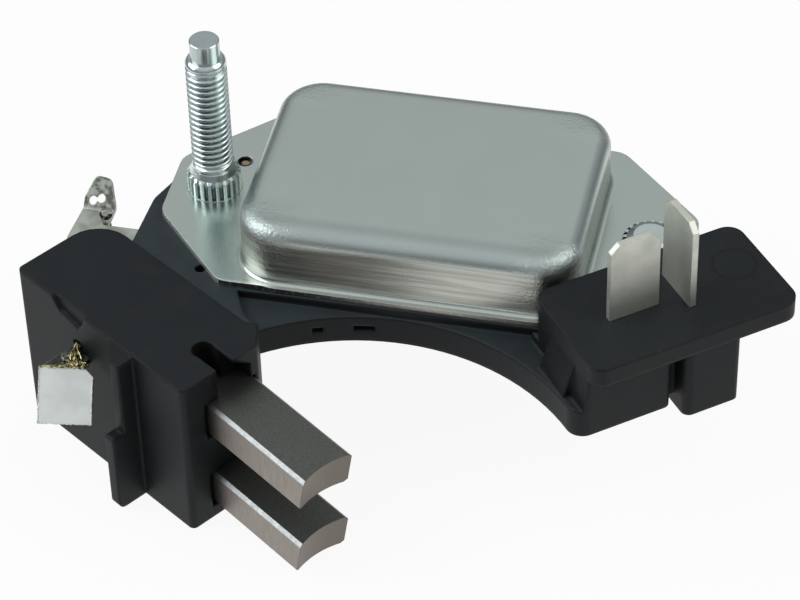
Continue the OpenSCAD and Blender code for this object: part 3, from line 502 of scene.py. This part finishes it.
def brush_finish(name, brush):
    """Copper graphite for one brush, with a painted highlight along its upper outer edge."""
    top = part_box(brush)[1][2] / MM
    finish = Finish(name, Metallic=0.8)
    edge, soft_normal = finish.edges(0.14)
    speckle = finish.noise(0.13, detail=3)
    marks = finish.noise(0.1, detail=3, stretch=(1, 1, 0.05))
    clouds = finish.noise(1.6, detail=3)
    broken = finish.noise(0.8, detail=4, offset=3).ramp(0.3, 0.7)
    wavy_height = finish.axis(finish.place, "Z") + clouds * 0.12 - 0.06
    worn = finish.dot(finish.normal, SLIDE).ramp(0.5, 0.8)
    outer = finish.dot(finish.normal, OUTER).ramp(0.3, 0.5)
    # Painted highlight: a bright stripe along the upper edge of the outer side.
    highlight_band = wavy_height.ramp(top - 0.5, top - 0.38) * outer * (1 - worn)
    # Painted shadow: the brush is darker where it leaves the holder.
    mouth_shadow = 1 - finish.dot(finish.place, SLIDE).ramp(MOUTH - 0.5, MOUTH + 2.5)

    side = finish.tint(marks.ramp(0.3, 0.7), colour(139, 131, 125), colour(155, 148, 141))
    upper = finish.tint(speckle.ramp(0.3, 0.7), colour(84, 87, 84), colour(104, 107, 102))
    # Painted shade: the upper face is darker than the sides.
    tone = finish.tint(finish.facing("Z").ramp(0.45, 0.9), side, upper)
    tone = finish.tint(worn, tone, colour(116, 108, 100))
    tone = finish.tint(highlight_band * (0.5 + broken * 0.3), tone, colour(196, 203, 205))
    tone = finish.tint(mouth_shadow * 0.8, tone, colour(52, 52, 50))
    finish.set(
        Base_Color=finish.tint(edge * (1 - highlight_band) * 0.6, tone, colour(58, 56, 53)),
        Roughness=0.36 + speckle * 0.2,
        Normal=finish.bumps(speckle * 0.6 + marks * 0.4, 0.02, soft_normal))
    return finish


wear(brush_finish("upper_copper_graphite", "upper_brush"), "upper_brush")
wear(brush_finish("lower_copper_graphite", "lower_brush"), "lower_brush")

# %% [markdown]
# ## Springs, leads and solder
# Springs are drawn steel wire. The leads are braids of fine copper wire: diagonal bands of a
# Wave texture, used for colour and bump, read as plaits at this size, where modelled wires
# would be lost. Solder freezes with a frosted, slightly lumpy skin.

# %% Spring, lead and solder finishes
spring_steel = Finish("spring_steel", Metallic=1.0, Roughness=0.3)
drawn = spring_steel.noise(0.3)
spring_steel.set(Base_Color=spring_steel.tint(drawn, colour(140, 142, 142), colour(180, 182, 182)))
wear(spring_steel, "upper_brush_spring", "lower_brush_spring")

braid = Finish("copper_braid", Metallic=1.0)
ply_settings = {"Vector": braid.place, "Scale": 1.6, "Distortion": 0.6}
ply = braid.node("TexWave", {"bands_direction": "DIAGONAL"}, ply_settings)
braid.set(
    Base_Color=braid.tint(ply, colour(110, 80, 50), colour(190, 156, 108)),
    Roughness=0.42 + ply * 0.1,
    Normal=braid.bumps(ply, 0.08, braid.rounded(0.1)))
wear(braid, "upper_brush_lead", "lower_brush_lead", "upper_lead_tail", "lower_lead_tail")

solder = Finish("solder", Metallic=1.0)
frost = solder.noise(0.6, detail=4)
solder.set(
    Base_Color=solder.tint(frost, colour(118, 122, 114), colour(190, 192, 184)),
    Roughness=0.16 + frost * 0.2,
    Normal=solder.bumps(frost, 0.08, solder.rounded(0.1)))
wear(solder, "rear_solder_joint", "tab_solder")

# %% [markdown]
# ## Inside the can
# The circuit can't be seen from outside, but an open view or a cut would show it. A white
# fired ceramic carries matt black packages and tan capacitors, so one function with two close
# tones covers them all.


# %% Circuit finishes
def fired(name, first, second, roughness):
    """A matt surface with faint clouds."""
    finish = Finish(name, Roughness=roughness)
    clouds = finish.noise(0.8)
    relief = finish.bumps(clouds, 0.01, finish.rounded(0.1))
    finish.set(Base_Color=finish.tint(clouds, first, second), Normal=relief)
    return finish


wear(fired("fired_ceramic", colour(226, 224, 214), colour(238, 236, 228), 0.55), "ceramic_substrate")
wear(fired("moulded_package", colour(34, 34, 36), colour(46, 46, 48), 0.5),
     "regulator_chip", "power_transistor", "freewheel_diode", "chip_resistors")
wear(fired("tantalum_package", colour(186, 132, 44), colour(204, 152, 60), 0.45), "filter_capacitor")
wear(fired("fired_chip", colour(150, 116, 84), colour(168, 134, 100), 0.4), "chip_capacitor")

# %% [markdown]
# ## The threaded stud
# The stud is cold formed: its thread is rolled, with round crests, its point is a plain dog,
# and the splines of its collar bite into the sheet. A thread is a helix, so it is made here
# and not in the solids. Going round the stud, the radius depends only on height and angle: a
# wave of `height / pitch - turns` is the thread and a comb of teeth is the collar. One grid of
# points, wrapped round the axis, takes its radius from that rule, and no modifier is needed.

# %% Shape of the stud
PITCH, MAJOR, MINOR = 0.8, 2.46, 2.02
SPLINE_R, SPLINE_DEPTH, SPLINES = 3.3, 0.45, 20
COLLAR_TOP, NECK_TOP, TIP_START, SHOULDER, STUD_TOP = 2.7, 3.7, 18.7, 19.5, 22.0
DOG_R, SHOULDER_R = 1.775, 2.02
PLATE_BOTTOM, HEAD_BOTTOM, HEAD_R = -1.8, -3.2, 4.8
BITE_TOP = 0.08


def between(value, start, end):
    """0 before start, 1 after end, and straight between them."""
    return min(max((value - start) / (end - start), 0), 1)


def thread_depth(z, turns):
    """How deep the thread is cut at a height and an angle: a V with a round crest and root."""
    phase = (z / PITCH - turns) % 1
    flank = between(abs(phase - 0.5) * 2, 0.12, 0.8)
    tooth = flank * flank * (3 - 2 * flank)
    run = between(z, NECK_TOP - 0.3, NECK_TOP + 0.9) * between(TIP_START + 0.3 - z, 0, 1.6)
    return (MAJOR - MINOR) * (1 - tooth) * run


random.seed(9)
UNEVEN = [(random.uniform(0.75, 1.15), random.uniform(0.1, 0.75)) for _ in range(SPLINES)]


def stud_radius(z, turns):
    """The stud's radius. The splines are a little uneven and end in the sheet that they bit."""
    if z < PLATE_BOTTOM:
        return HEAD_R
    if z < BITE_TOP:
        return SPLINE_R
    if z < COLLAR_TOP:
        phase = (turns * SPLINES + 0.25) % 1
        deep, lead = UNEVEN[int(turns * SPLINES + 0.25) % SPLINES]
        groove = between(abs(phase - 0.5) * 2, 0.3, 0.75)
        lead_in = between(z, COLLAR_TOP - lead, COLLAR_TOP)
        return SPLINE_R - SPLINE_DEPTH * max(groove * groove * (3 - 2 * groove), 1 - deep, lead_in)
    if z < SHOULDER:
        root = SPLINE_R - SPLINE_DEPTH
        neck = root + (MAJOR - root) * between(z, COLLAR_TOP, NECK_TOP)
        tip = between(z, TIP_START, SHOULDER)
        return neck - thread_depth(z, turns) - (MAJOR - SHOULDER_R) * tip * tip
    return DOG_R - 0.1 * between(z, STUD_TOP - 0.1, STUD_TOP)


print("radius at half height:", round(stud_radius(STUD_TOP / 2, 0), 2), "mm")


# %% From points to a piece
SHARP = math.radians(38)


def mesh_piece(name, points, faces, finish, replaced=None):
    """An object from points in millimetres that rides on the regulator."""
    mesh = bpy.data.meshes.new(name)
    mesh.from_pydata([tuple(c * MM for c in p) for p in points], [], faces)
    mesh.polygons.foreach_set("use_smooth", [True] * len(mesh.polygons))
    mesh.set_sharp_from_angle(angle=SHARP)
    mesh.materials.append(finish.material)
    piece = bpy.data.objects.new(name, mesh)
    bpy.context.collection.objects.link(piece)
    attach(piece, "regulator")
    if replaced:
        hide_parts(replaced)
    print(name + ":", len(mesh.polygons), "faces")
    return piece


def turned_solid(levels, columns, radius, at=(0, 0)):
    """Points and faces of a closed solid round an upright axis, with a ring at each level."""
    points = []
    for z in levels:
        for i in range(columns):
            r, angle = radius(z, i / columns), 2 * math.pi * i / columns
            points.append((at[0] + r * math.cos(angle), at[1] + r * math.sin(angle), z))
    faces = [list(range(columns))[::-1], list(range(len(points) - columns, len(points)))]
    for k in range(len(levels) - 1):
        for i in range(columns):
            j = (i + 1) % columns
            a, b = k * columns, (k + 1) * columns
            faces.append([a + i, a + j, b + j, b + i])
    return points, faces


# %% Stud
def groove_shade(finish):
    """Painted shade in the roots of the thread and the splines, and a darker point."""
    x, y, z = (finish.axis(finish.place, name) for name in "XYZ")
    square = x * x + y * y
    root = 1 - square.ramp(MINOR ** 2 + 0.2, MAJOR ** 2 - 0.5)
    thread = root * z.ramp(NECK_TOP, NECK_TOP + 0.4) * (1 - z.ramp(TIP_START - 0.6, TIP_START))
    spline = 1 - square.ramp((SPLINE_R - SPLINE_DEPTH) ** 2 + 0.4, SPLINE_R ** 2 - 0.8)
    spline = spline * (1 - z.ramp(COLLAR_TOP - 1.2, COLLAR_TOP - 0.3))
    point = z.ramp(SHOULDER - 0.1, SHOULDER)
    return thread * 0.5 + spline * 0.8 + point * 0.25


STEP, EDGE, COLUMNS = 0.05, 0.001, 160
THREAD_FROM = COLLAR_TOP - 0.8
rings = int((SHOULDER - THREAD_FROM) / STEP)
levels = [HEAD_BOTTOM, PLATE_BOTTOM - EDGE, PLATE_BOTTOM, BITE_TOP - EDGE, BITE_TOP, THREAD_FROM]
levels += [THREAD_FROM + STEP * i for i in range(1, rings)]
levels += [SHOULDER - EDGE, SHOULDER, STUD_TOP - 0.1, STUD_TOP]
stud_zinc = zinc_plate("stud_zinc", 0.03, groove_shade)
mesh_piece("threaded_stud", *turned_solid(levels, COLUMNS, stud_radius), stud_zinc, "mounting_stud")

# %% [markdown]
# ## Varnish in the locating hole
# A drop of varnish has run into the small hole beside the stud and set there as a tan dome.
# Its rim is painted dark, as the shade in the hole. A cap of a sphere, turned like the stud,
# lies inside the hole.

# %% Varnish drop
HOLE_AT = (2.5, 5)
DROP_R, DROP_BOTTOM, DROP_H = 0.88, -0.69, 0.42


def drop_radius(z, turns):
    """The drop's radius at a height: a quarter of an ellipse."""
    return DROP_R * math.sqrt(max(1 - ((z - DROP_BOTTOM) / DROP_H) ** 2, 0.002))


varnish = Finish("varnish", Roughness=0.3, IOR=1.4)
# Painted shade: the drop is dark except near its top.
unshaded_top = varnish.near((HOLE_AT[0], HOLE_AT[1] + 0.15, DROP_BOTTOM + DROP_H), 0.5)
varnish.set(Base_Color=varnish.tint(unshaded_top, colour(34, 30, 26), colour(156, 142, 114)))
drop_levels = [DROP_BOTTOM + DROP_H * math.sin(math.pi / 2 * i / 10) for i in range(11)]
varnish_drop = mesh_piece("varnish_drop", *turned_solid(drop_levels, 32, drop_radius, HOLE_AT), varnish)

# %% [markdown]
# ## The frayed lead
# The upper brush's lead leaves the holder above the slanting tab and is soldered to its upper
# edge. Its braid has opened into loose brass-coloured strands. Hair curves would be quick, but
# only meshes can be printed or exported, so each strand is a thin tube along a short curve
# that wanders a little.

# %% Places beside the holder, the brush guides and the tab
GUIDE_PIVOT = Vector((9.5, 6.8, 0))


def beside_guide(x, y, z):
    """A point given along, across and up from the holder's front corner, turned to the guides."""
    in_holder = GUIDE_PIVOT + GUIDE_TURN @ (Vector((x, y, z)) - GUIDE_PIVOT)
    return HOLDER_AT + HOLDER_TURN @ in_holder


def beside_tab(x, y, z):
    """A point given along, behind and above the middle of the tab's upper edge."""
    return TAB_AT + TAB_TURN @ Vector((x, y, z))


print("middle of the tab's upper edge:", tuple(beside_tab(0, 0, 0)), "mm")


# %% Tubes along curves
def tube(path, radii, sides=7):
    """Points and faces of a closed tube along a path, with a radius at each of its points."""
    points, faces = [], []
    side = Vector((0.3, 0.2, 1)).normalized()
    for k, here in enumerate(path):
        ahead = (path[min(k + 1, len(path) - 1)] - path[max(k - 1, 0)]).normalized()
        side = (side - ahead * side.dot(ahead)).normalized()
        other = ahead.cross(side)
        for i in range(sides):
            angle = 2 * math.pi * i / sides
            points.append(here + (side * math.cos(angle) + other * math.sin(angle)) * radii[k])
    for k in range(len(path) - 1):
        for i in range(sides):
            j = (i + 1) % sides
            faces.append([k * sides + i, k * sides + j, (k + 1) * sides + j, (k + 1) * sides + i])
    faces += [list(range(sides))[::-1], list(range((len(path) - 1) * sides, len(path) * sides))]
    return points, faces


def joined(parts):
    """One list of points and one of faces from several tubes."""
    points, faces = [], []
    for part_points, part_faces in parts:
        faces += [[i + len(points) for i in face] for face in part_faces]
        points += part_points
    return points, faces


def curve_through(stops, steps=8):
    """Points of a smooth curve through a few stops."""
    ends = [stops[0] * 2 - stops[1]] + list(stops) + [stops[-1] * 2 - stops[-2]]
    path = []
    for a, b, c, d in zip(ends, ends[1:], ends[2:], ends[3:]):
        for i in range(steps):
            t = i / steps
            bend = (2 * a - 5 * b + 4 * c - d) * t ** 2 + (3 * b - a - 3 * c + d) * t ** 3
            path.append(0.5 * (2 * b + (c - a) * t + bend))
    return path + [stops[-1]]


# %% Strands on the tab
random.seed(4)
LEAD_X, LEAD_Z = -18.6, -5.7
STRANDS, STRAND_R, LEAD_R = 14, 0.1, 0.32
LANDS_FROM, LANDS_OVER, STRAY = -0.9, 3.6, 0.7
strands = []
for i in range(STRANDS):
    angle = 2 * math.pi * i / STRANDS
    dx, dz = LEAD_R * math.cos(angle), LEAD_R * math.sin(angle)
    start = beside_guide(LEAD_X + dx, 0.4, LEAD_Z + dz)
    mouth = beside_guide(LEAD_X + dx, -1.4, LEAD_Z + dz)
    landing = LANDS_FROM + LANDS_OVER * i / STRANDS + random.uniform(-STRAY, STRAY)
    shift = random.uniform(-STRAY, STRAY)
    arch = beside_tab(landing * 0.5 + 0.8 + shift, random.uniform(0.6, 1.3), random.uniform(0.0, 0.9))
    bend = beside_tab(landing * 0.8 + 0.3 - shift, random.uniform(0.0, 0.7), random.uniform(-0.1, 0.5))
    end = beside_tab(landing, random.uniform(-0.3, 0.2), random.uniform(-0.1, 0.2))
    path = curve_through([start, mouth, arch, bend, end])
    strands.append(tube(path, [STRAND_R] * len(path)))

brass = Finish("brass_strands", Metallic=1.0)
tarnish = brass.noise(0.4)
brass.set(Base_Color=brass.tint(tarnish.ramp(0.38, 0.62), colour(96, 88, 52), colour(224, 216, 168)),
          Roughness=0.22 + tarnish * 0.2)
mesh_piece("frayed_lead", *joined(strands), brass, "upper_lead_tail")

# %% [markdown]
# ## The torn edges of the tab
# The tool that cut the tab tore it. A ragged lip stands along its upper edge, under the
# strands, and finer burrs run down its sides and along its lower edge. Displacing the tab
# itself would need a much denser mesh, so each lip is a thin tube that lies on the edge, and
# its path and thickness wander at random.

# %% Ragged lips of the tab
TAB_HALF, TAB_CUT, TAB_DROP = 3.15, 0.7, 4.67
LIP_STEP, LIP_WANDER = 0.14, 0.05
LIP_R, SIDE_BURR_R, LOW_BURR_R = 0.2, 0.1, 0.08


def lip(start, end, thick):
    """A ragged lip along an edge: a thin tube whose path and radius wander."""
    steps = int((end - start).length / LIP_STEP)
    path, radii = [], []
    for i in range(steps + 1):
        wander = Vector([random.uniform(-LIP_WANDER, LIP_WANDER) for _ in range(3)])
        path.append(start.lerp(end, i / steps) + wander)
        radii.append(random.uniform(0.35, 1) * thick)
    return tube(path, radii, sides=6)


lip_end = beside_tab(TAB_HALF - TAB_CUT - 0.3, 0, 0.02)
torn_lip = mesh_piece("torn_lip", *lip(beside_tab(-TAB_HALF, 0, 0.02), lip_end, LIP_R), brass)
low_left, low_right = (beside_tab(x, -TAB_DROP, -TAB_DROP) for x in (-TAB_HALF, TAB_HALF))
burrs = [lip(beside_tab(-TAB_HALF, 0, 0), low_left, SIDE_BURR_R)]
burrs.append(lip(beside_tab(TAB_HALF, -TAB_CUT, -TAB_CUT), low_right, SIDE_BURR_R))
burrs.append(lip(low_left, low_right, LOW_BURR_R))
lip_tin = tinned("lip_tin", colour(238, 240, 236), colour(214, 216, 208), rough=0.3)
side_burrs = mesh_piece("side_burrs", *joined(burrs), lip_tin)

# %% [markdown]
# ## Springs and leads beside the brushes
# When a brush is pushed in, its spring and the lead beside it get shorter. Here each of them
# only gets its own copy of its mesh: the squash along the brush's direction, towards the end
# that stays where it is, is worked out but not made. A shape key would do it for one pose,
# while a squash follows the joint all the way.

# %% Own meshes for the springs and leads
GUIDE_BACK, GUIDE_Y = -27, 6.8
BRUSH_L, SOCKET_L, TRAVEL = 24, 3, 10


def follows(node, joint, held, moving):
    """Gives a node its own copy of its mesh, which is not squashed along the guide."""
    length = moving - held
    anchor = tuple(beside_guide(held, GUIDE_Y, 0) * MM)
    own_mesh(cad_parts[node], joint, axis=tuple(SLIDE), anchor=anchor,
              keep=(length - TRAVEL) / length)
    print(node, "follows", joint)


for name, reach, held in (("upper", 17.4, LEAD_X), ("lower", 16.2, GUIDE_BACK - 1)):
    brush_back = reach - BRUSH_L
    follows(name + "_brush_spring", name + "_brush_slide", GUIDE_BACK, brush_back)
    follows(name + "_brush_lead", name + "_brush_slide", held, brush_back + SOCKET_L)

# %% [markdown]
# ## Floor
# The part stands on white. The floor is lit like everything else and keeps the part's soft
# shadow, but to the camera, and to mirrors and glass, it adds a glow that brings it up to
# white. The Light Path node tells those rays apart, so no light on the part has to be raised.
# What mirrors see of it fades with distance, as the edge of a lit table does.

# %% White floor
FLOOR_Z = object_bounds()[0][2] - 0.1 * MM
FLOOR_HALF = 3.0
GLOW_SHARE, MIRRORED_FADE = 0.92, 0.8
FADES_FROM, FADES_TO = 100, 280
signs = ((-1, -1), (1, -1), (1, 1), (-1, 1))
floor_corners = [(x * FLOOR_HALF, y * FLOOR_HALF, FLOOR_Z) for x, y in signs]
floor_mesh = bpy.data.meshes.new("floor")
floor_mesh.from_pydata(floor_corners, [], [[0, 1, 2, 3]])
floor = bpy.data.objects.new("floor", floor_mesh)
bpy.context.collection.objects.link(floor)

paper = Finish("white_paper", Roughness=0.9, Base_Color=(0.8, 0.8, 0.8, 1))
rays = ("Camera", "Glossy", "Transmission")
seen, mirrored, through = (paper.node("LightPath", out=f"Is {ray} Ray") for ray in rays)
far = paper.distance(paper.place, LOOKS_AT / MM).ramp(FADES_FROM, FADES_TO)
tone = paper.tint(mirrored * far * MIRRORED_FADE, (1, 1, 1), (0, 0, 0))
glow = paper.node("Emission", {}, {"Color": tone, "Strength": 1.0})
lit = Wire(paper, paper.shader.outputs[0])
mixed = paper.node("MixShader", {}, {0: (seen + mirrored + through) * GLOW_SHARE, 1: lit, 2: glow})
paper.plug(paper.tree.nodes["Material Output"].inputs["Surface"], mixed)
floor_mesh.materials.append(paper.material)
print("floor at", round(FLOOR_Z / MM, 2), "mm")

# %% [markdown]
# ## Light
# Bright metal shows its surroundings more than its own colour. So the world is a plain studio
# that is darker near the horizon and brighter overhead, the same all the way round. Two large
# soft lamps, one on the left and one on the right, add the highlights on the thread and
# the drawn corners. Together they light a white surface to about 1, so colours come out as
# they are written. Only the camera sees white behind the part.

# %% World
world = bpy.data.worlds.new("studio")
world.use_nodes = True
bpy.context.scene.world = world
sky = Tree(world.node_tree)
rise = sky.axis(sky.node("TexCoord", out="Generated"), "Z")
SKY_STOPS = [(0.0, 0.3), (0.5, 0.2), (0.66, 0.36), (0.83, 0.63), (1.0, 0.74)]
stops = [(place, (0.97 * light, 0.99 * light, light)) for place, light in SKY_STOPS]
dome = sky.node("ValToRGB", {"stops": stops}, {0: rise * 0.5 + 0.5})
seen = sky.node("LightPath", out="Is Camera Ray")
backdrop = sky.tint(seen, dome, (1, 1, 1))
sky.plug(world.node_tree.nodes["Background"].inputs["Color"], backdrop)
print("sky from", SKY_STOPS[1][1], "near the horizon to", SKY_STOPS[-1][1], "overhead")


# %% Lamps
def lamp(name, at, size, power, tone):
    """A square soft light at a place in millimetres, turned to the part."""
    light = bpy.data.lights.new(name, "AREA")
    light.size, light.energy, light.color = size * MM, power, tone
    lamp_object = bpy.data.objects.new(name, light)
    place = Vector(at) * MM
    turn = (place - LOOKS_AT).to_track_quat("Z", "Y").to_matrix().to_4x4()
    lamp_object.matrix_world = Matrix.Translation(place) @ turn
    bpy.context.collection.objects.link(lamp_object)
    print(name, "lamp of", power, "W")


lamp("left", (-400, -120, 300), 420, 1.45, (0.97, 0.985, 1.0))
lamp("right", (400, 0, 300), 300, 0.7, (1.0, 0.985, 0.96))

# %% [markdown]
# ## The view
# The Standard view shows every colour as it was written, without a film look over it.


bpy.context.scene.view_settings.view_transform = "Standard"
